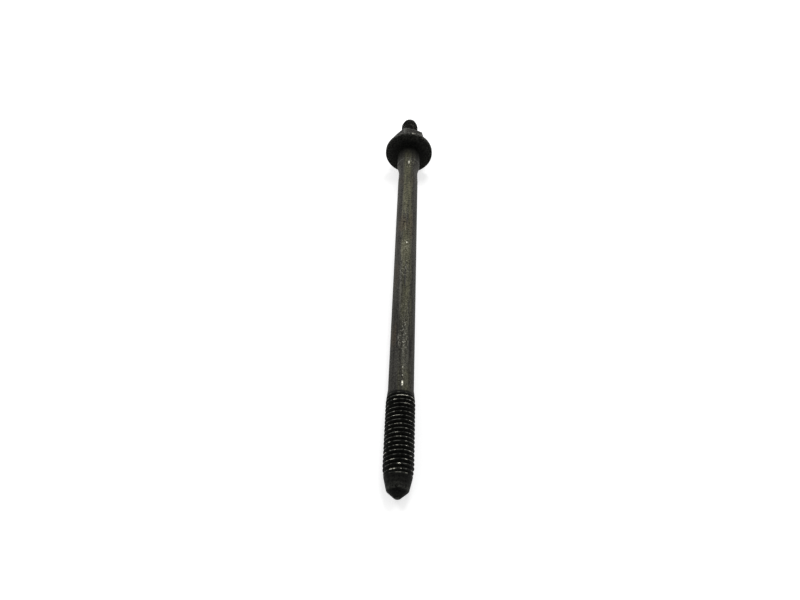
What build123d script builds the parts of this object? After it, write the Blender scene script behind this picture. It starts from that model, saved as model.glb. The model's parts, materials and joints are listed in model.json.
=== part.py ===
from build123d import *
import math
import os

# Double end stud, turned and forged from one bar, all sizes in millimetres.
# It is drawn upright, with its tip at height 0 and its line along Z, and then laid down
# as it rests on a table: on the rim of its flange and on the end of its long thread.

# Tip and pilot of the long end
tip_flat_d = 1.8
tip_cone_l = 2.4
pilot_small_d = 7.1
pilot_large_d = 9.0
pilot_l = 3.9

# Long thread, drawn as the cylinder over its crests (pitch 1.5)
long_thread_d = 10.0
lead_in_l = 3.1
long_thread_l = 23.1
run_out_l = 5.0

# Shank, with a slightly slimmer neck that flares into a locating collar under the flange
under_head_l = 170.7
shank_d = 8.9
neck_d = 8.6
neck_taper_l = 4.0
neck_l = 3.0
collar_d = 10.4
collar_l = 14.7
collar_flare_l = 4.5

# Flange, with a flat face towards the shank and a sloping back
flange_d = 22.3
flange_rim_t = 1.5
flange_slope_deg = 25.0
rim_r = 0.3
root_r = 0.4

# Hexagon, measured from the bearing face of the flange
hex_across_flats = 15.0
hex_top = 9.8
hex_top_d = 14.8
hex_chamfer_deg = 30.0
hex_turn_deg = 15.0

# Short thread, drawn as the cylinder over its crests (pitch 1.25)
short_thread_d = 8.0
short_end_l = 14.5
end_chamfer_l = 2.5
end_chamfer_depth = 0.8

# Heights along the stud
pilot_base = tip_cone_l
lead_in_base = pilot_base + pilot_l
long_thread_base = lead_in_base + lead_in_l
long_thread_end = long_thread_base + long_thread_l
run_out_end = long_thread_end + run_out_l
bearing_face = under_head_l
collar_front = bearing_face - collar_l
collar_full = collar_front + collar_flare_l
neck_front = collar_front - neck_l
rim_back = bearing_face + flange_rim_t
hex_back = bearing_face + hex_top
stud_end = hex_back + short_end_l


def corner(sketch, radius, height):
    # The corner of a drawn outline that lies at this radius and height.
    return sketch.vertices().sort_by_distance((radius, height))[0]


def cone_above(start, radius_below, radius_above, angle_deg):
    # Height reached by a slope that closes in from one radius to the other.
    return start + (radius_below - radius_above) * math.tan(math.radians(angle_deg))


def turned_body():
    # The half outline from the tip up, spun about the stud's own line.
    slope_top = cone_above(rim_back, flange_d / 2, short_thread_d / 2, flange_slope_deg)
    outline = Polyline(
        (0, 0),
        (tip_flat_d / 2, 0),
        (pilot_small_d / 2, pilot_base),
        (pilot_large_d / 2, lead_in_base),
        (long_thread_d / 2, long_thread_base),
        (long_thread_d / 2, long_thread_end),
        (shank_d / 2, run_out_end),
        (shank_d / 2, neck_front - neck_taper_l),
        (neck_d / 2, neck_front),
        (neck_d / 2, collar_front),
        (collar_d / 2, collar_full),
        (collar_d / 2, bearing_face),
        (flange_d / 2, bearing_face),
        (flange_d / 2, rim_back),
        (short_thread_d / 2, slope_top),
        (short_thread_d / 2, stud_end - end_chamfer_l),
        (short_thread_d / 2 - end_chamfer_depth, stud_end),
        (0, stud_end),
        close=True,
    )
    half = make_face(outline)
    for height in (bearing_face, rim_back):
        half = fillet(corner(half, flange_d / 2, height), rim_r)
    half = fillet(corner(half, collar_d / 2, bearing_face), root_r)
    return revolve(Plane.XZ * half, axis=Axis.Z)


def hexagon():
    # Six flats that run down into the slope of the flange, with a chamfered top.
    corner_r = hex_across_flats / 2 / math.cos(math.radians(30))
    chamfer_base = cone_above(hex_back, hex_top_d / 2, corner_r, hex_chamfer_deg)
    flats = RegularPolygon(hex_across_flats / 2, 6, major_radius=False, rotation=hex_turn_deg)
    prism = Pos(0, 0, bearing_face + flange_rim_t / 2) * extrude(flats, hex_top - flange_rim_t / 2)
    limit = make_face(Polyline(
        (0, bearing_face),
        (corner_r, bearing_face),
        (corner_r, chamfer_base),
        (hex_top_d / 2, hex_back),
        (0, hex_back),
        close=True,
    ))
    return prism & revolve(Plane.XZ * limit, axis=Axis.Z)


def resting_tilt():
    # The line under the stud touches the rounded rim of the flange and the first full
    # thread, so the stud leans up towards its head by this angle, in degrees.
    drop = flange_d / 2 - rim_r - long_thread_d / 2
    reach = bearing_face + rim_r - long_thread_base
    return math.degrees(math.atan2(drop, reach) + math.asin(rim_r / math.hypot(drop, reach)))


def lay_down(solid):
    # The head points along +Y, the stud rests on Z = 0 and its box is centred on X and Y.
    laid = Rot(X=-90 + resting_tilt()) * solid
    box = laid.bounding_box()
    return Pos(-box.center().X, -box.center().Y, -box.min.Z) * laid


double_end_stud = lay_down(turned_body() + hexagon())

os.makedirs("parts", exist_ok=True)
export_step(double_end_stud, "parts/double_end_stud.step")
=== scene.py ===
import bpy
import json
from math import asin, cos, pi, radians, sin, tan
from mathutils import Matrix, Vector


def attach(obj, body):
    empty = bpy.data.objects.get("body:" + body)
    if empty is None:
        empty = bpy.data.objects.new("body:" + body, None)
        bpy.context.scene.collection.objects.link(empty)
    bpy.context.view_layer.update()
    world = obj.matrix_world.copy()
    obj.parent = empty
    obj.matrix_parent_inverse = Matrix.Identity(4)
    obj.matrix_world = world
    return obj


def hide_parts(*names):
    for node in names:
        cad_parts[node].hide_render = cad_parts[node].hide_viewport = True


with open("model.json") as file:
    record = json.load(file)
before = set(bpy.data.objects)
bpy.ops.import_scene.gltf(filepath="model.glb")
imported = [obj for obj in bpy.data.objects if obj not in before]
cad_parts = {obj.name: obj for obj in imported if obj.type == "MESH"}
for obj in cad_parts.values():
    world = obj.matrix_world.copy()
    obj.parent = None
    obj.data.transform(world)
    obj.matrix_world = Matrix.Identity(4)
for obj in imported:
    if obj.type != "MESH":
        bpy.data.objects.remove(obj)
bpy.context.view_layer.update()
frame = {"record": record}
scene = bpy.context.scene
mm = 0.001
print("frame loaded")

# The stud is drawn in millimetres in its own frame, with its tip at 0, its line along +Y,
# +X to the right and +Z up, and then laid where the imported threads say.
stud = {
    "tipFlat": 1.8, "tipCone": 2.4, "pilotSmall": 7.1, "pilotLarge": 9.0, "pilot": 3.9,
    "longThread": 10.0, "leadIn": 3.1, "longThreadLength": 23.1, "runOut": 5.0,
    "underHead": 170.7, "shank": 8.9, "neck": 8.6, "neckTaper": 4.0, "neckLength": 3.0,
    "collar": 10.4, "collarLength": 14.7, "collarFlare": 4.5, "collarRoot": 0.4,
    "flange": 22.3, "rim": 1.5, "rimRound": 0.3, "flangeSlope": 25.0,
    "acrossFlats": 15.0, "hexTop": 9.8, "hexTopWidth": 14.8, "hexChamfer": 30.0, "hexTurn": 45.0,
    "hexRoot": 2.0, "hexCornerPower": 120.0, "hexCornerWear": (0.545, 0.568),
    "shortThread": 8.0, "shortEnd": 14.5, "endChamfer": 2.5, "endDepth": 0.8, "endFlat": 5.2,
    "columns": 120, "shankRows": 22, "weld": 0.001, "sharpAngle": 38.0,
}
longTurning = {"pitch": 1.5, "turns": 18, "turn": 204.0, "fadeIn": 0.9, "fadeOut": 1.6}
shortTurning = {"pitch": 1.25, "turns": 10, "turn": 45.0, "fadeIn": 1.2, "fadeOut": 0.001}
threadDepth = 0.6134                                   # in pitches, for a 60 degree thread

pilotStart = stud["tipCone"]
pilotEnd = pilotStart + stud["pilot"]
fullThread = pilotEnd + stud["leadIn"]
threadEnd = fullThread + stud["longThreadLength"]
runOutEnd = threadEnd + stud["runOut"]
bearingFace = stud["underHead"]
collarFront = bearingFace - stud["collarLength"]
collarFull = collarFront + stud["collarFlare"]
neckFront = collarFront - stud["neckLength"]
rimBack = bearingFace + stud["rim"]
hexBack = bearingFace + stud["hexTop"]
studEnd = hexBack + stud["shortEnd"]
longSpan = longTurning["pitch"] * (longTurning["turns"] + 1)
shortSpan = shortTurning["pitch"] * (shortTurning["turns"] + 1)

mounts = {mount["name"]: mount for mount in frame["record"]["mounts"]}
longMiddle, shortMiddle = (Vector(mounts[name]["pos_m"]) for name in ("long_thread", "short_thread"))
alongStud = (shortMiddle - longMiddle).normalized()
lean = asin(alongStud.z)
tipPlace = longMiddle - alongStud * (fullThread + threadEnd) / 2 * mm
studPlace = Matrix.Translation(tipPlace) @ Matrix.Rotation(lean, 4, "X")


def sign(operation, swapped=False):                    # a sign such as + that adds its Math node
    def apply(wire, other):
        values = (other, wire) if swapped else (wire, other)
        return wire.graph.maths(operation, *values)
    return apply


class Wire:                                            # a socket that can stand in a sum
    def __init__(self, graph, socket):
        self.graph, self.socket = graph, socket

    __add__ = __radd__ = sign("ADD")
    __mul__ = __rmul__ = sign("MULTIPLY")
    __sub__, __rsub__ = sign("SUBTRACT"), sign("SUBTRACT", swapped=True)
    __truediv__, __rtruediv__ = sign("DIVIDE"), sign("DIVIDE", swapped=True)
    __pow__ = sign("POWER")
    __gt__ = sign("GREATER_THAN")


class Graph:                                           # a node tree, with one way to add a node
    def __init__(self, tree):
        self.tree = tree

    def node(self, kind, settings, sockets, output=0):
        made = self.tree.nodes.new(kind)
        for name, value in settings.items():
            if name == "curve":
                fillCurve(made.mapping, value)
            else:
                setattr(made, name, value)
        for name, value in sockets.items():
            self.plug(pick(made.inputs, name), value)
        return Wire(self, pick(made.outputs, output))

    def plug(self, socket, value):
        if isinstance(value, Wire):
            self.tree.links.new(value.socket, socket)
        else:
            socket.default_value = value

    def maths(self, operation, *values):
        return self.node("ShaderNodeMath", {"operation": operation}, dict(enumerate(values)))

    def smooth(self, value, low, high):                # 0 at low, 1 at high
        return self.node("ShaderNodeMapRange", {"interpolation_type": "SMOOTHSTEP"},
                         {"Value": value, "From Min": low, "From Max": high})

    def limit(self, value, low, high):
        return self.maths("MINIMUM", self.maths("MAXIMUM", value, low), high)

    def mix(self, share, first, second):               # the second colour laid over the first
        first, second = ((*c, 1.0) if isinstance(c, tuple) else c for c in (first, second))
        colours = {"Factor": share, "A": first, "B": second}
        return self.node("ShaderNodeMix", {"data_type": "RGBA"}, colours, 2)

    def output(self, kind, name, value):
        self.plug(self.tree.nodes.new(kind).inputs[name], value)


def pick(sockets, name):                               # by number, or by name among those in use
    if isinstance(name, int):
        return sockets[name]
    return next(socket for socket in sockets if socket.name == name and socket.enabled)


def fillCurve(mapping, points):                        # straight runs between the points
    curve = mapping.curves[0]
    while len(curve.points) < len(points):
        curve.points.new(0.5, 0.5)
    for point, place in zip(curve.points, points):
        point.location, point.handle_type = place, "VECTOR"
    mapping.update()


# Points of the curve that rounds one corner of an outline.
def roundCorner(before, corner, after, rounding, steps=4):
    arrive, leave = (corner - before).normalized(), (after - corner).normalized()
    reach = rounding * tan(arrive.angle(leave) / 2)
    start, end = corner - arrive * reach, corner + leave * reach
    shares = [k / steps for k in range(steps + 1)]
    return [start.lerp(corner, share).lerp(corner.lerp(end, share), share) for share in shares]


# Corners are (along, radius, rounding, wear). A row at the guard's distance on each side of a
# rounding keeps the rounding's wear and shading off the long runs.
def turnedRows(corners, guard=0.35):
    places = [Vector(corner[:2]) for corner in corners]
    rows = []
    for here, (along, radius, rounding, wear) in enumerate(corners):
        if rounding and 0 < here < len(corners) - 1:
            arc = roundCorner(places[here - 1], places[here], places[here + 1], rounding)
            back, onward = places[here - 1] - places[here], places[here + 1] - places[here]
            if back.length > 3 * guard:
                rows.append((*(arc[0] + back.normalized() * guard), 0.0))
            rows += [(*point, wear) for point in arc]
            if onward.length > 3 * guard:
                rows.append((*(arc[-1] + onward.normalized() * guard), 0.0))
        else:
            rows.append((along, radius, wear))
    return [(along, radius, -1.0, 0.0, 0.0, wear, 0.0) for along, radius, wear in rows]


# Outline of the whole turned shape. A share of 0 to 1 puts a row on the hexagon, from its foot
# to its top, moved by inset and lift, and -1 is a plain round row. Edge is how worn the row is.
# Between two rows with a gap of 1 there are no faces, because a thread stands there.
outlineNames = ["along", "radius", "share", "inset", "lift", "edge", "gap"]


def besideThread(row):
    return (*row[:-1], 1.0)


def studOutline():
    halfShank, halfNeck, halfCollar = stud["shank"] / 2, stud["neck"] / 2, stud["collar"] / 2
    halfFlange, halfShort = stud["flange"] / 2, stud["shortThread"] / 2
    flangeSlope, bevel = radians(stud["flangeSlope"]), tan(radians(stud["hexChamfer"]))
    leftOfRunOut = (runOutEnd - pilotEnd - longSpan) / stud["runOut"]
    runOutRadius = halfShank + leftOfRunOut * (stud["longThread"] / 2 - halfShank)
    nose = turnedRows([
        (0, 0, 0, 0), (0, stud["tipFlat"] / 2, 0.6, 0.3), (pilotStart, stud["pilotSmall"] / 2, 0.8, 0.3),
        (pilotEnd, stud["pilotLarge"] / 2, 0, 0),
    ])
    nose[-1] = besideThread(nose[-1])
    firstRow, taperStart, shankRows = runOutEnd + 0.6, neckFront - stud["neckTaper"], stud["shankRows"]
    shankPlaces = [firstRow + (taperStart - firstRow) * k / shankRows for k in range(shankRows)]
    middle = turnedRows([
        (pilotEnd + longSpan, runOutRadius, 0, 0),
        (runOutEnd, halfShank, 0, 0),
        *[(along, halfShank, 0, 0) for along in shankPlaces],
        (taperStart, halfShank, 2.0, 0), (neckFront, halfNeck, 2.0, 0),
        (collarFront, halfNeck, 3.0, 0), (collarFull, halfCollar, 1.5, 0.7),
        (collarFull + 4, halfCollar, 0, 0), (bearingFace - 3, halfCollar, 0, 0),
        (bearingFace, halfCollar, stud["collarRoot"], 0),
        (bearingFace, halfCollar + 2, 0, 0), (bearingFace, halfFlange - 1.5, 0, 0),
        (bearingFace, halfFlange, stud["rimRound"], 0.5), (rimBack, halfFlange, stud["rimRound"], 0.8),
        (rimBack + tan(flangeSlope), halfFlange - 1, 0, 0),
    ])
    middle[0] = besideThread(middle[0])
    reach = stud["hexRoot"] * tan((pi / 2 - flangeSlope) / 2)
    foot, drop = reach * cos(flangeSlope), reach * sin(flangeSlope)
    root, rootSteps = [], 4                            # the hollow between the flange and the flats
    for k in range(rootSteps + 1):
        up, down = (k / rootSteps) ** 2, (1 - k / rootSteps) ** 2
        root.append((0, 0, 0, -foot * down, reach * up - drop * down, 0, 0))
    hexagon = root + [                                 # the flats and their worn top edge
        (0, 0, 1, 0.0, -0.45, 0, 0), (0, 0, 1, 0.0, -0.12, 0.8, 0), (0, 0, 1, 0.03, -0.02, 1, 0),
        (0, 0, 1, 0.12, 0.12 * bevel, 0.8, 0), (0, 0, 1, 0.4, 0.4 * bevel, 0, 0),
    ]
    halfTop = stud["hexTopWidth"] / 2
    shoulder = turnedRows([                            # its first corner only gives the chamfer's slope
        (hexBack - 0.35 * bevel, halfTop + 0.35, 0, 0), (hexBack, halfTop, 0.25, 0.6),
        (hexBack, halfShort, 0.15, 0), (studEnd - shortSpan, halfShort, 0, 0),
    ])[1:]
    shoulder[-1] = besideThread(shoulder[-1])
    end = [(studEnd, halfShort - stud["endDepth"], -1, 0, 0, 0.5, 1.0),
           (studEnd, stud["endFlat"] / 2, -1, 0, 0, 0, 0), (studEnd, 0, -1, 0, 0, 0, 0)]
    return nose + middle + hexagon + shoulder + end


def outlineMesh():
    rows = studOutline()
    mesh = bpy.data.meshes.new("studOutline")
    mesh.from_pydata([(row[1], row[0], 0) for row in rows], [(k, k + 1) for k in range(len(rows) - 1)], [])
    for column, name in enumerate(outlineNames):
        mesh.attributes.new(name, "FLOAT", "POINT").data.foreach_set("value", [row[column] for row in rows])
    return mesh


def store(graph, geometry, name, value):
    return graph.node("GeometryNodeStoreNamedAttribute", {"data_type": "FLOAT", "domain": "POINT"},
                      {"Geometry": geometry, "Name": name, "Value": value})


def bendRound(graph, geometry, along, radius, angle):  # angle 0 is on top and grows to the right
    place = graph.node("ShaderNodeCombineXYZ", {}, {
        "X": radius * graph.maths("SINE", angle), "Y": along, "Z": radius * graph.maths("COSINE", angle)})
    return graph.node("GeometryNodeSetPosition", {}, {"Geometry": geometry, "Position": place})


def turnedShape(graph, given):                         # the outline swept round, with its hexagon
    outline = given["Outline"]
    rows = graph.node("GeometryNodeAttributeDomainSize", {"component": "MESH"},
                      {"Geometry": outline}, "Point Count")
    grid = graph.node("GeometryNodeMeshGrid", {}, {"Vertices X": given["Columns"] + 1, "Vertices Y": rows})
    index = graph.node("GeometryNodeInputIndex", {}, {})
    column = graph.maths("FLOOR", (index + 0.5) / rows)
    row = index - column * rows
    value = {}
    for name in outlineNames:
        read = graph.node("GeometryNodeInputNamedAttribute", {"data_type": "FLOAT"}, {"Name": name})
        value[name] = graph.node("GeometryNodeSampleIndex", {"data_type": "FLOAT"},
                                 {"Geometry": outline, "Value": read, "Index": row})
    angle = column / given["Columns"] * (2 * pi) + given["Hexagon Turn"]
    flats = 0
    for k in range(3):                                 # three pairs of flats, with corners a little round
        facing = graph.maths("COSINE", angle - given["Hexagon Turn"] - radians(30 + 60 * k))
        flats = flats + graph.maths("ABSOLUTE", facing) ** given["Corner Power"]
    hexRadius = given["Across Flats"] / 2 / flats ** (1 / given["Corner Power"])
    base = given["Slope Start"] + (given["Slope Radius"] - hexRadius) * given["Slope"]
    top = given["Hexagon Top"] - (hexRadius - given["Top Radius"]) * given["Top Slope"]
    onHexagon = value["share"] > -0.5                  # a round row's share is -1
    hexAlong = base + (top - base) * value["share"] + value["lift"]
    along = value["along"] + (hexAlong - value["along"]) * onHexagon
    radius = value["radius"] + (hexRadius - value["inset"] - value["radius"]) * onHexagon
    corner = graph.smooth(hexRadius / given["Across Flats"], *stud["hexCornerWear"]) * onHexagon
    shape = bendRound(graph, grid, along, radius, angle)
    shape = store(graph, shape, "edge", graph.maths("MAXIMUM", value["edge"], corner))
    shape = store(graph, shape, "groove", 0.0)
    shape = store(graph, shape, "threaded", 0.0)
    shape = store(graph, shape, "gap", value["gap"])
    gap = graph.node("GeometryNodeInputNamedAttribute", {"data_type": "FLOAT"}, {"Name": "gap"})
    return graph.node("GeometryNodeDeleteGeometry", {"domain": "FACE", "mode": "ALL"},
                      {"Geometry": shape, "Selection": gap > 0.99})


# Section of one thread pitch, as (share of the pitch, share of the depth), from root to root.
threadSection = [(0, 1), (0.07, 0.97), (0.12, 0.86), (0.43, 0.04), (0.465, 0), (0.535, 0), (0.57, 0.04),
                 (0.88, 0.86), (0.93, 0.97), (1, 1)]


def threadBand(graph, given, name):                    # one long strip wound round the stud
    start, pitch, turns = given[name + " Start"], given[name + " Pitch"], given[name + " Turns"]
    stops = len(threadSection)
    grid = graph.node("GeometryNodeMeshGrid", {}, {
        "Vertices X": (turns + 2) * given["Columns"] + 1, "Vertices Y": stops})
    index = graph.node("GeometryNodeInputIndex", {}, {})
    column = graph.maths("FLOOR", (index + 0.5) / stops)
    stop = (index - column * stops) / (stops - 1)
    across = graph.node("ShaderNodeFloatCurve", {"curve": [
        (k / (stops - 1), place) for k, (place, depth) in enumerate(threadSection)]}, {"Value": stop})
    turn = column / given["Columns"] - 1
    span = pitch * (turns + 1)
    low, high = graph.limit(pitch * turn, 0, span), graph.limit(pitch * (turn + 1), 0, span)
    climb = low + (high - low) * across
    groove = graph.node("ShaderNodeFloatCurve", {"curve": threadSection}, {"Value": climb / pitch - turn})
    fade = (graph.smooth(climb, 0, given[name + " Fade In"])
            * graph.smooth(span - climb, 0, given[name + " Fade Out"]))
    cut = given[name + " Radius"] - pitch * threadDepth * groove * fade
    lead = given[name + " Start Radius"] + given[name + " Start Slope"] * climb
    tail = given[name + " End Radius"] + given[name + " End Slope"] * (span - climb)
    cap = graph.maths("MINIMUM", graph.maths("MINIMUM", lead, tail), given[name + " Radius"])
    radius = graph.maths("MINIMUM", cut, cap)
    angle = turn * (2 * pi) + given[name + " Turn"]
    shape = bendRound(graph, grid, start + climb, radius, angle)
    shape = store(graph, shape, "edge", 0.0)
    shape = store(graph, shape, "groove", (cap - radius) / (pitch * threadDepth))
    return store(graph, shape, "threaded", fade)


def studInputs():
    halfShank, halfShort = stud["shank"] / 2, stud["shortThread"] / 2
    halfLong, halfPilot = stud["longThread"] / 2, stud["pilotLarge"] / 2
    taper = (halfLong - halfShank) / stud["runOut"]
    values = {
        "Columns": stud["columns"], "Hexagon Turn": radians(stud["hexTurn"]),
        "Corner Power": stud["hexCornerPower"], "Across Flats": stud["acrossFlats"],
        "Slope Start": rimBack, "Slope Radius": stud["flange"] / 2,
        "Slope": tan(radians(stud["flangeSlope"])),
        "Hexagon Top": hexBack, "Top Radius": stud["hexTopWidth"] / 2,
        "Top Slope": tan(radians(stud["hexChamfer"])),
        "Long Start": pilotEnd, "Long Radius": halfLong, "Long Start Radius": halfPilot,
        "Long Start Slope": (halfLong - halfPilot) / stud["leadIn"],
        "Long End Radius": halfShank + (runOutEnd - pilotEnd - longSpan) * taper, "Long End Slope": taper,
        "Short Start": studEnd - shortSpan, "Short Radius": halfShort, "Short Start Radius": halfShort,
        "Short Start Slope": 0.0, "Short End Radius": halfShort - stud["endDepth"],
        "Short End Slope": stud["endDepth"] / stud["endChamfer"],
    }
    for name, turning in (("Long", longTurning), ("Short", shortTurning)):
        values.update({
            name + " Pitch": turning["pitch"], name + " Turns": turning["turns"],
            name + " Turn": radians(turning["turn"]), name + " Fade In": turning["fadeIn"],
            name + " Fade Out": turning["fadeOut"],
        })
    return values


def makeTree(name, values):
    tree = bpy.data.node_groups.new(name, "GeometryNodeTree")
    tree.interface.new_socket("Outline", in_out="INPUT", socket_type="NodeSocketGeometry")
    for label, value in values.items():
        kind = "NodeSocketInt" if isinstance(value, int) else "NodeSocketFloat"
        tree.interface.new_socket(label, in_out="INPUT", socket_type=kind)
    tree.interface.new_socket("Stud", in_out="OUTPUT", socket_type="NodeSocketGeometry")
    source = tree.nodes.new("NodeGroupInput")
    graph = Graph(tree)
    return graph, {socket.name: Wire(graph, socket) for socket in source.outputs if socket.name}


def buildStud(material):
    values = studInputs()
    graph, given = makeTree("studShape", values)
    join = graph.tree.nodes.new("GeometryNodeJoinGeometry")
    graph.plug(join.inputs[0], turnedShape(graph, given))
    graph.plug(join.inputs[0], threadBand(graph, given, "Long"))
    graph.plug(join.inputs[0], threadBand(graph, given, "Short"))
    welded = graph.node("GeometryNodeMergeByDistance", {},
                        {"Geometry": Wire(graph, join.outputs[0]), "Distance": stud["weld"]})
    solid = graph.node("GeometryNodeRealizeInstances", {}, {"Geometry": welded})
    finished = graph.node("GeometryNodeSetMaterial", {}, {"Geometry": solid, "Material": material})
    graph.output("NodeGroupOutput", "Stud", finished)

    piece = bpy.data.objects.new("stud", outlineMesh())
    scene.collection.objects.link(piece)
    modifier = piece.modifiers.new("shape", "NODES")
    modifier.node_group = graph.tree
    for item in graph.tree.interface.items_tree:
        if item.name in values:
            modifier[item.identifier] = values[item.name]
    depsgraph = bpy.context.evaluated_depsgraph_get()
    mesh = bpy.data.meshes.new_from_object(piece.evaluated_get(depsgraph), preserve_all_data_layers=True,
                                           depsgraph=depsgraph)
    piece.modifiers.remove(modifier)
    piece.data = mesh
    mesh.name = "stud"
    mesh.transform(studPlace @ Matrix.Diagonal((mm, mm, mm, 1)))
    mesh.shade_smooth()
    mesh.set_sharp_from_angle(angle=radians(stud["sharpAngle"]))
    return piece


# Finish: dark oxide on the threads, flange and hexagon, and a shank with streaks from drawing and an olive
# cast, painted lighter on top as a highlight and darker at the sides as shade.
finish = {
    "oxide": (0.0056, 0.0057, 0.0050), "head": (0.033, 0.032, 0.029), "crest": (0.092, 0.093, 0.083),
    # The top colours are lighter than the side colour: painted highlight on the shank's top, painted shade
    # on its sides.
    "shankSideShaded": (0.047, 0.0455, 0.040), "shankTopLitOlive": (0.078, 0.0765, 0.0495),
    "shankTopGreyLit": (0.078, 0.0765, 0.067), "brown": (0.078, 0.056, 0.034), "rubbed": (0.55, 0.54, 0.46),
    "headTurn": radians(2), "tipTurn": radians(13),    # how far right of the top the olive band, with its painted highlight, lies
    # Where a change starts and where it is done, in millimetres along the stud.
    "noseStart": (2.0, 2.6), "noseEnd": (2.8, 4.4), "tipShines": (2.2, 6.0), "crestsDim": (14.0, 22.0),
    "greyStart": (42.0, 46.0), "greyEnd": (60.0, 70.0), "lightens": (45.0, 115.0),
    # Over the collar the shank colour gives way to dark oxide, partly the oxide and partly painted shade of
    # the flange.
    "bandTurns": (75.0, 110.0), "collarOxideAndPaintedShade": (156.0, 168.5),
    "shankStart": 35.3, "startWander": 1.6, "startFade": (-0.3, 0.3),
    "faceFade": (5.5, 10.5),                           # out from the stud's line
    # Levels of a pattern, or of the turn towards the top, between which a mark comes in.
    # top: how far from the top of the shank the painted highlight and olive band reach.
    "top": (0.8, 1.0), "gleamTop": (0.9, 1.0), "under": (0.1, 0.7), "underPatches": (0.42, 0.6),
    "oliveStreaks": (0.3, 0.52), "brownStreaks": (0.4, 0.55), "brownPatches": (0.6, 0.72),
    "gleamStreaks": (0.45, 0.65), "crestTops": (0.0, 0.03), "crestWear": (0.41, 0.59),
    "bareCrests": (0.57, 0.64), "edgeWear": (0.38, 0.58), "rubGrain": (0.38, 0.5), "flecks": (0.57, 0.63),
    # How strong each is.
    "shankGrain": 2.1, "shankFine": 2.7, "shankStreak": 1.9, "darkGrain": 2.4, "darkFine": 3.0,
    "faceGrain": 5.0, "tipRings": 3.4, "darkest": 0.15, "tipTone": 0.77, "greyShare": 0.6,
    "brownShare": 0.7, "patchShare": 0.4, "tipShine": 0.2, "noseShine": 2.4, "faceShine": 1.5,
    "shortEndDark": 0.75, "crestsDimmed": 0.25, "shortCrestsDimmed": 0.3, "edgeShare": 0.6,
    "fleckShare": 0.35, "bareShare": 0.75, "metalShare": 0.9, "gleam": 0.25, "patternRoughness": 0.55,
    "roughness": 0.5, "roughSpread": 0.3, "wornSmoother": 0.32, "specular": 0.03, "coatRoughness": 0.35,
    "bump": 0.4, "bumpHeight": 0.00008, "bumpGrain": 0.7, "bumpFine": 0.5, "bumpStreak": 0.5,
}
patterns = {                                           # noises: scale per mm, detail, weight of each axis
    "grain": (1.2, 4.0, (1, 1, 1)), "fineGrain": (2.4, 4.0, (1, 1, 1)),
    "streak": (0.9, 3.0, (1, 0.07, 1)), "fineStreak": (2.2, 3.0, (1, 0.05, 1)),
    "patch": (0.07, 2.0, (1, 0.6, 1)), "underPatch": (0.11, 2.0, (1, 0.5, 1)),
    "ring": (1.3, 2.0, (0.1, 1, 0.1)), "edge": (1.2, 3.0, (1, 1, 1)),
    "crest": (0.75, 2.0, (1, 1, 1)), "bareCrest": (0.7, 1.0, (1, 1, 1)),
}
# Marks: (along, degrees round from the top, half length, half width, strength).
rubs = [                                               # rubbed down to the metal
    (38.1, 4.5, 1.5, 0.42, 0.65), (41.0, 4.4, 0.7, 0.26, 0.4), (42.8, 4.8, 0.8, 0.24, 0.3),
    (44.4, 4.4, 0.6, 0.24, 0.4), (50.0, 3.6, 3.0, 0.20, 0.12), (57.2, -21.0, 1.6, 0.22, 0.26),
    (54.6, -18.5, 1.4, 0.22, 0.2), (105.3, 5.5, 0.55, 0.42, 0.7), (113.6, -5.0, 2.4, 0.22, 0.2),
    (121.0, -1.0, 4.0, 0.20, 0.08), (158.0, 2.5, 1.3, 0.30, 0.6), (171.5, 8.5, 0.65, 0.55, 0.55),
    (171.5, 13.5, 0.6, 0.40, 0.45),
]
speckled = [                                           # where it is pitted and its grain rubbed bright
    (58.0, 4.0, 9.0, 2.1, 0.8), (91.5, -3.0, 6.0, 2.2, 0.9), (103.0, -2.0, 5.5, 2.4, 0.8),
    (157.5, 12.0, 4.0, 2.2, 0.4), (70.0, 3.0, 9.0, 2.2, 0.3),
]
sheenAndShadeStreaks = [                                              # painted highlight streaks along the shank, and painted shade where the strength is below 0
    (118.0, -18.0, 50.0, 1.7, 0.16), (118.0, -20.5, 48.0, 0.75, 0.22), (86.0, -20.0, 22.0, 0.6, 1.0),
    (66.0, 9.0, 34.0, 0.6, 0.12), (92.0, 12.0, 16.0, 0.5, 0.4), (124.0, -11.0, 12.0, 0.5, 0.5),
    (124.0, -6.5, 15.0, 0.16, 0.35), (76.0, 1.0, 20.0, 0.9, -0.22), (64.0, -11.0, 8.0, 0.8, -0.3),
    (54.0, -4.0, 8.0, 0.5, -0.35), (46.0, 31.5, 30.0, 0.75, -0.45),
]
browned = [                                            # where the shank is brown
    (116.0, 28.0, 11.0, 2.4, 0.4), (60.0, -45.0, 8.0, 2.2, 0.6), (88.0, -52.0, 9.0, 2.0, 0.35),
]


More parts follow.
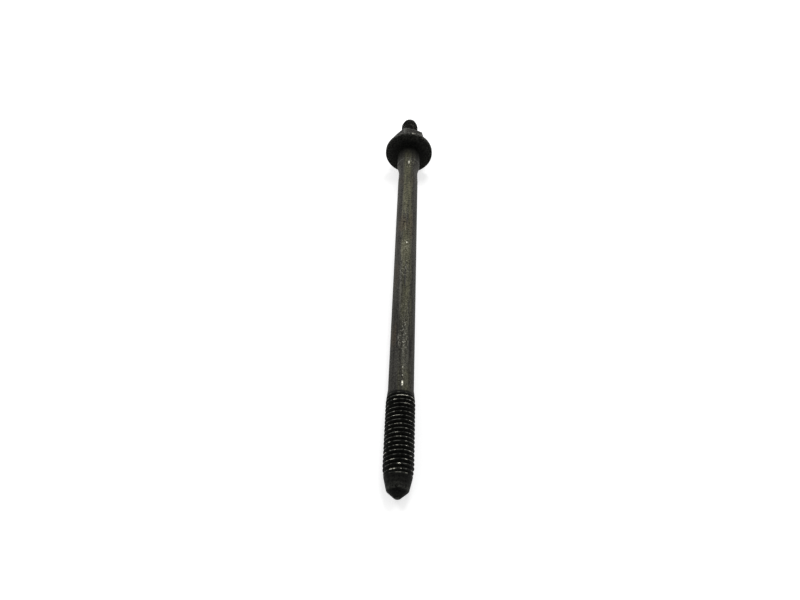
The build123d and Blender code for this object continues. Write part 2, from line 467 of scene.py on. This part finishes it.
def blackenedSteel():
    material = bpy.data.materials.new("blackenedSteel")
    material.use_nodes = True
    material.node_tree.nodes.clear()
    graph = Graph(material.node_tree)
    node, smooth, maths, mix = graph.node, graph.smooth, graph.maths, graph.mix

    here = node("ShaderNodeTexCoord", {}, {}, "Object")
    own = node("ShaderNodeMapping", {"vector_type": "TEXTURE"},
               {"Vector": here, "Location": tipPlace, "Rotation": (lean, 0, 0), "Scale": (mm, mm, mm)})
    across, along, up = (node("ShaderNodeSeparateXYZ", {}, {"Vector": own}, axis) for axis in "XYZ")
    radius = (across * across + up * up) ** 0.5
    angle = maths("ARCTAN2", across, up)               # 0 on top, growing to the right

    def attribute(name):
        return node("ShaderNodeAttribute", {"attribute_type": "GEOMETRY", "attribute_name": name}, {}, "Fac")

    def pattern(name):
        scale, detail, weights = patterns[name]
        place = node("ShaderNodeMapping", {"vector_type": "POINT"}, {"Vector": own, "Scale": weights})
        sizes = {"Vector": place, "Scale": scale, "Detail": detail, "Roughness": finish["patternRoughness"]}
        return node("ShaderNodeTexNoise", {}, sizes, "Fac")

    def comesIn(value, name):                          # 0 below its two levels, and 1 above them
        return smooth(value, *finish[name])

    def past(name):                                    # 0 before a stretch of the stud, and 1 after it
        return smooth(along, *finish[name])

    def marks(places, soft=0.9):                       # spots; soft is the share of each that fades out
        total = 0.0
        for middle, turn, length, width, strength in places:
            lengthwise = (along - middle) / length
            sideways = (angle - radians(turn)) * radius / width
            spot = (1 - smooth(lengthwise * lengthwise + sideways * sideways, 1 - soft, 1)) * strength
            total = spot + total
        return maths("MINIMUM", total, 1)

    def shade(colour, level):
        return node("ShaderNodeVectorMath", {"operation": "SCALE"}, {"Vector": colour, "Scale": level})

    edge, groove, threaded = attribute("edge"), attribute("groove"), attribute("threaded")
    grain, fineGrain = pattern("grain"), pattern("fineGrain")
    streak, fineStreak = pattern("streak"), pattern("fineStreak")

    # The shank: an olive band along its top with a painted highlight, grey sides with painted shade, brown
    # patches, streaks from drawing, and painted highlight and shade streaks.
    shankStart = finish["shankStart"] + (grain - 0.5) * finish["startWander"]
    # Towards the flange the shank colour fades to dark oxide: partly oxide, partly painted shade of the
    # flange.
    shank = comesIn(along - shankStart, "startFade") * (1 - past("collarOxideAndPaintedShade"))
    headTurn, tipTurn = finish["headTurn"], finish["tipTurn"]
    turnedUp = maths("COSINE", angle - tipTurn - past("bandTurns") * (headTurn - tipTurn))
    under = comesIn(-1 * turnedUp, "under") * comesIn(pattern("underPatch"), "underPatches")
    # Painted highlight: the shank is coloured lighter and olive along its top, and painted darker at its
    # sides.
    cast = maths("MAXIMUM", comesIn(turnedUp, "top"), under)
    greyed = past("greyStart") * (1 - past("greyEnd")) * finish["greyShare"]
    litTopColour = mix(greyed, finish["shankTopLitOlive"], finish["shankTopGreyLit"])
    olive = mix(cast * comesIn(streak, "oliveStreaks"), finish["shankSideShaded"], litTopColour)
    brownPatches = comesIn(pattern("patch"), "brownPatches") * finish["patchShare"]
    brown = maths("MAXIMUM", marks(browned) * comesIn(streak, "brownStreaks"), brownPatches)
    olive = mix(brown * finish["brownShare"], olive, finish["brown"])
    tone = 1 + (grain - 0.5) * finish["shankGrain"] + (fineGrain - 0.5) * finish["shankFine"]
    tone = tone + (streak - 0.5) * finish["shankStreak"]
    # Painted highlight and shade streaks lighten and darken the shank's tone.
    tone = tone * (finish["tipTone"] + past("lightens") * (1 - finish["tipTone"])) * (1 + marks(sheenAndShadeStreaks))
    olive = shade(olive, maths("MAXIMUM", tone, finish["darkest"]))

    # The dark oxide: rings on the turned tip, and a paler rim, slope and hexagon.
    head = smooth(along, bearingFace + 0.2, rimBack - 0.6)
    head = head * (1 - smooth(along, hexBack + 1, hexBack + 5) * finish["shortEndDark"])
    turned = 1 - smooth(along, pilotEnd - 0.2, pilotEnd + 0.3)
    face = smooth(along, bearingFace - 1.5, bearingFace - 0.3) * (1 - head) * comesIn(radius, "faceFade")
    nose = past("noseStart") * (1 - past("noseEnd"))
    darkTone = 1 + (grain - 0.5) * (finish["darkGrain"] + face * finish["faceGrain"])
    darkTone = darkTone + (fineGrain - 0.5) * finish["darkFine"]
    darkTone = darkTone + (pattern("ring") - 0.5) * finish["tipRings"] * turned
    # Painted sheen on the pilot, and a painted highlight ring on its rounded nose.
    lighter = 1 + past("tipShines") * turned * finish["tipShine"] + nose * finish["noseShine"]
    lighter = lighter + face * finish["faceShine"]
    darkTone = maths("MAXIMUM", darkTone, finish["darkest"]) * lighter
    dark = shade(mix(head, finish["oxide"], finish["head"]), darkTone)
    colour = mix(shank, dark, olive)

    # Wear: paler crests and edges, and marks rubbed down to the metal.
    crest = (1 - comesIn(groove, "crestTops")) * threaded
    shortDimmed = smooth(along, hexBack, hexBack + 1) * finish["shortCrestsDimmed"]
    crest = crest * (1 - past("crestsDim") * finish["crestsDimmed"] - shortDimmed)
    crestWear = crest * comesIn(pattern("crest"), "crestWear")
    edgeShare = finish["edgeShare"] + head * (1 - finish["edgeShare"])
    edgeWear = edge * comesIn(pattern("edge"), "edgeWear") * edgeShare
    wear = maths("MAXIMUM", crestWear, edgeWear)
    colour = mix(wear, colour, finish["crest"])
    rubbed = marks(rubs) * comesIn(fineGrain, "rubGrain")
    flecks = comesIn(fineGrain, "flecks") * marks(speckled, 0.7)
    rubbed = maths("MAXIMUM", rubbed, flecks * finish["fleckShare"])
    bareCrests = crest * comesIn(pattern("bareCrest"), "bareCrests") * finish["bareShare"]
    rubbed = maths("MAXIMUM", rubbed, bareCrests)
    colour = mix(rubbed, colour, finish["rubbed"])

    metal = maths("MAXIMUM", wear * finish["metalShare"], rubbed)
    rough = finish["roughness"] + (grain - 0.5) * finish["roughSpread"] - metal * finish["wornSmoother"]
    gleam = shank * comesIn(fineStreak, "gleamStreaks") * comesIn(turnedUp, "gleamTop") * finish["gleam"]
    height = grain * finish["bumpGrain"] + fineGrain * finish["bumpFine"]
    height = height + fineStreak * shank * finish["bumpStreak"]
    bump = node("ShaderNodeBump", {}, {
        "Strength": finish["bump"], "Distance": finish["bumpHeight"], "Height": height})
    shader = node("ShaderNodeBsdfPrincipled", {}, {
        "Base Color": colour, "Roughness": rough, "Metallic": metal, "Coat Weight": gleam, "Normal": bump,
        "Specular IOR Level": finish["specular"], "Coat Roughness": finish["coatRoughness"],
    })
    graph.output("ShaderNodeOutputMaterial", "Surface", shader)
    return material


steel = blackenedSteel()
print("finish made")
piece = buildStud(steel)
triangles = sum(len(face.vertices) - 2 for face in piece.data.polygons)
print("stud built:", len(piece.data.vertices), "vertices,", triangles, "triangles")
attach(piece, "root")
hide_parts("double_end_stud")


# Stage: a pale floor that turns white for the camera and in reflections, and keeps the shadow.
stage = {
    "floorSize": 8.0, "floorColour": (0.8, 0.8, 0.8, 1.0), "worldLight": 0.5,
    "glowNear": (0.5, 0.5, 0.5), "glowFar": (1.0, 1.0, 1.0), "glowGrows": (0.2, 0.9),
}
lamps = [                                              # all aimed at the middle of the stud
    {"name": "leftLamp", "place": (-0.64, 0.46, 0.61), "size": 0.3, "power": 2.6},
    {"name": "topLamp", "place": (0.12, 0.46, 0.88), "size": 0.3, "power": 2.2},
    {"name": "rightLamp", "place": (0.68, 0.46, 0.58), "size": 0.3, "power": 1.9},
]


def showRay(graph):                                    # 1 for what the camera or a reflection sees
    path = {name: graph.node("ShaderNodeLightPath", {}, {}, name)
            for name in ("Is Camera Ray", "Is Glossy Ray", "Is Transmission Ray")}
    return graph.limit(path["Is Camera Ray"] + path["Is Glossy Ray"] + path["Is Transmission Ray"], 0, 1)


def buildStage():
    half = stage["floorSize"] / 2
    mesh = bpy.data.meshes.new("floor")
    corners = [(-half, -half, 0), (half, -half, 0), (half, half, 0), (-half, half, 0)]
    mesh.from_pydata(corners, [], [(0, 1, 2, 3)])
    floor = bpy.data.objects.new("floor", mesh)
    scene.collection.objects.link(floor)
    material = bpy.data.materials.new("paleFloor")
    material.use_nodes = True
    material.node_tree.nodes.clear()
    graph = Graph(material.node_tree)
    matte = graph.node("ShaderNodeBsdfDiffuse", {}, {"Color": stage["floorColour"]})
    here = graph.node("ShaderNodeTexCoord", {}, {}, "Object")
    away = graph.node("ShaderNodeVectorMath", {"operation": "LENGTH"}, {0: here}, "Value")
    glowColour = graph.mix(graph.smooth(away, *stage["glowGrows"]), stage["glowNear"], stage["glowFar"])
    glow = graph.node("ShaderNodeEmission", {}, {"Color": glowColour, "Strength": showRay(graph)})
    both = graph.node("ShaderNodeAddShader", {}, {0: matte, 1: glow})
    graph.output("ShaderNodeOutputMaterial", "Surface", both)
    mesh.materials.append(material)

    world = bpy.data.worlds.new("studio")
    world.use_nodes = True
    world.node_tree.nodes.clear()
    scene.world = world
    graph = Graph(world.node_tree)
    strength = stage["worldLight"] + showRay(graph) * (1 - stage["worldLight"])
    sky = graph.node("ShaderNodeBackground", {}, {"Color": (1, 1, 1, 1), "Strength": strength})
    graph.output("ShaderNodeOutputWorld", "Surface", sky)

    for lamp in lamps:
        light = bpy.data.lights.new(lamp["name"], "AREA")
        light.shape, light.size, light.energy = "DISK", lamp["size"], lamp["power"]
        shown = bpy.data.objects.new(lamp["name"], light)
        shown.location = lamp["place"]
        shown.rotation_euler = (-Vector(lamp["place"])).to_track_quat("-Z", "Y").to_euler()
        scene.collection.objects.link(shown)


# Camera, as it stands over the stud. Its place is in the stud's own frame, in millimetres,
# the angles are in degrees, and near and far are in metres.
view = {
    "place": (1.015, -70.535, 176.351), "yaw": -0.975, "down": 49.866, "roll": -0.955,
    "sensor": 36.0, "lens": 27.02, "near": 0.005, "far": 50.0,
}


def buildCamera():
    camera = bpy.data.objects.new("camera", bpy.data.cameras.new("camera"))
    camera.data.sensor_width, camera.data.lens = view["sensor"], view["lens"]
    camera.data.clip_start, camera.data.clip_end = view["near"], view["far"]
    yaw = Matrix.Rotation(-radians(view["yaw"]), 4, "Z")
    down = Matrix.Rotation(radians(90 - view["down"]), 4, "X")
    roll = Matrix.Rotation(-radians(view["roll"]), 4, "Z")
    camera.matrix_world = studPlace @ Matrix.Translation(Vector(view["place"]) * mm) @ (yaw @ down @ roll)
    scene.collection.objects.link(camera)
    scene.camera = camera


buildStage()
buildCamera()
scene.view_settings.view_transform = "Standard"
print("stage and camera set")
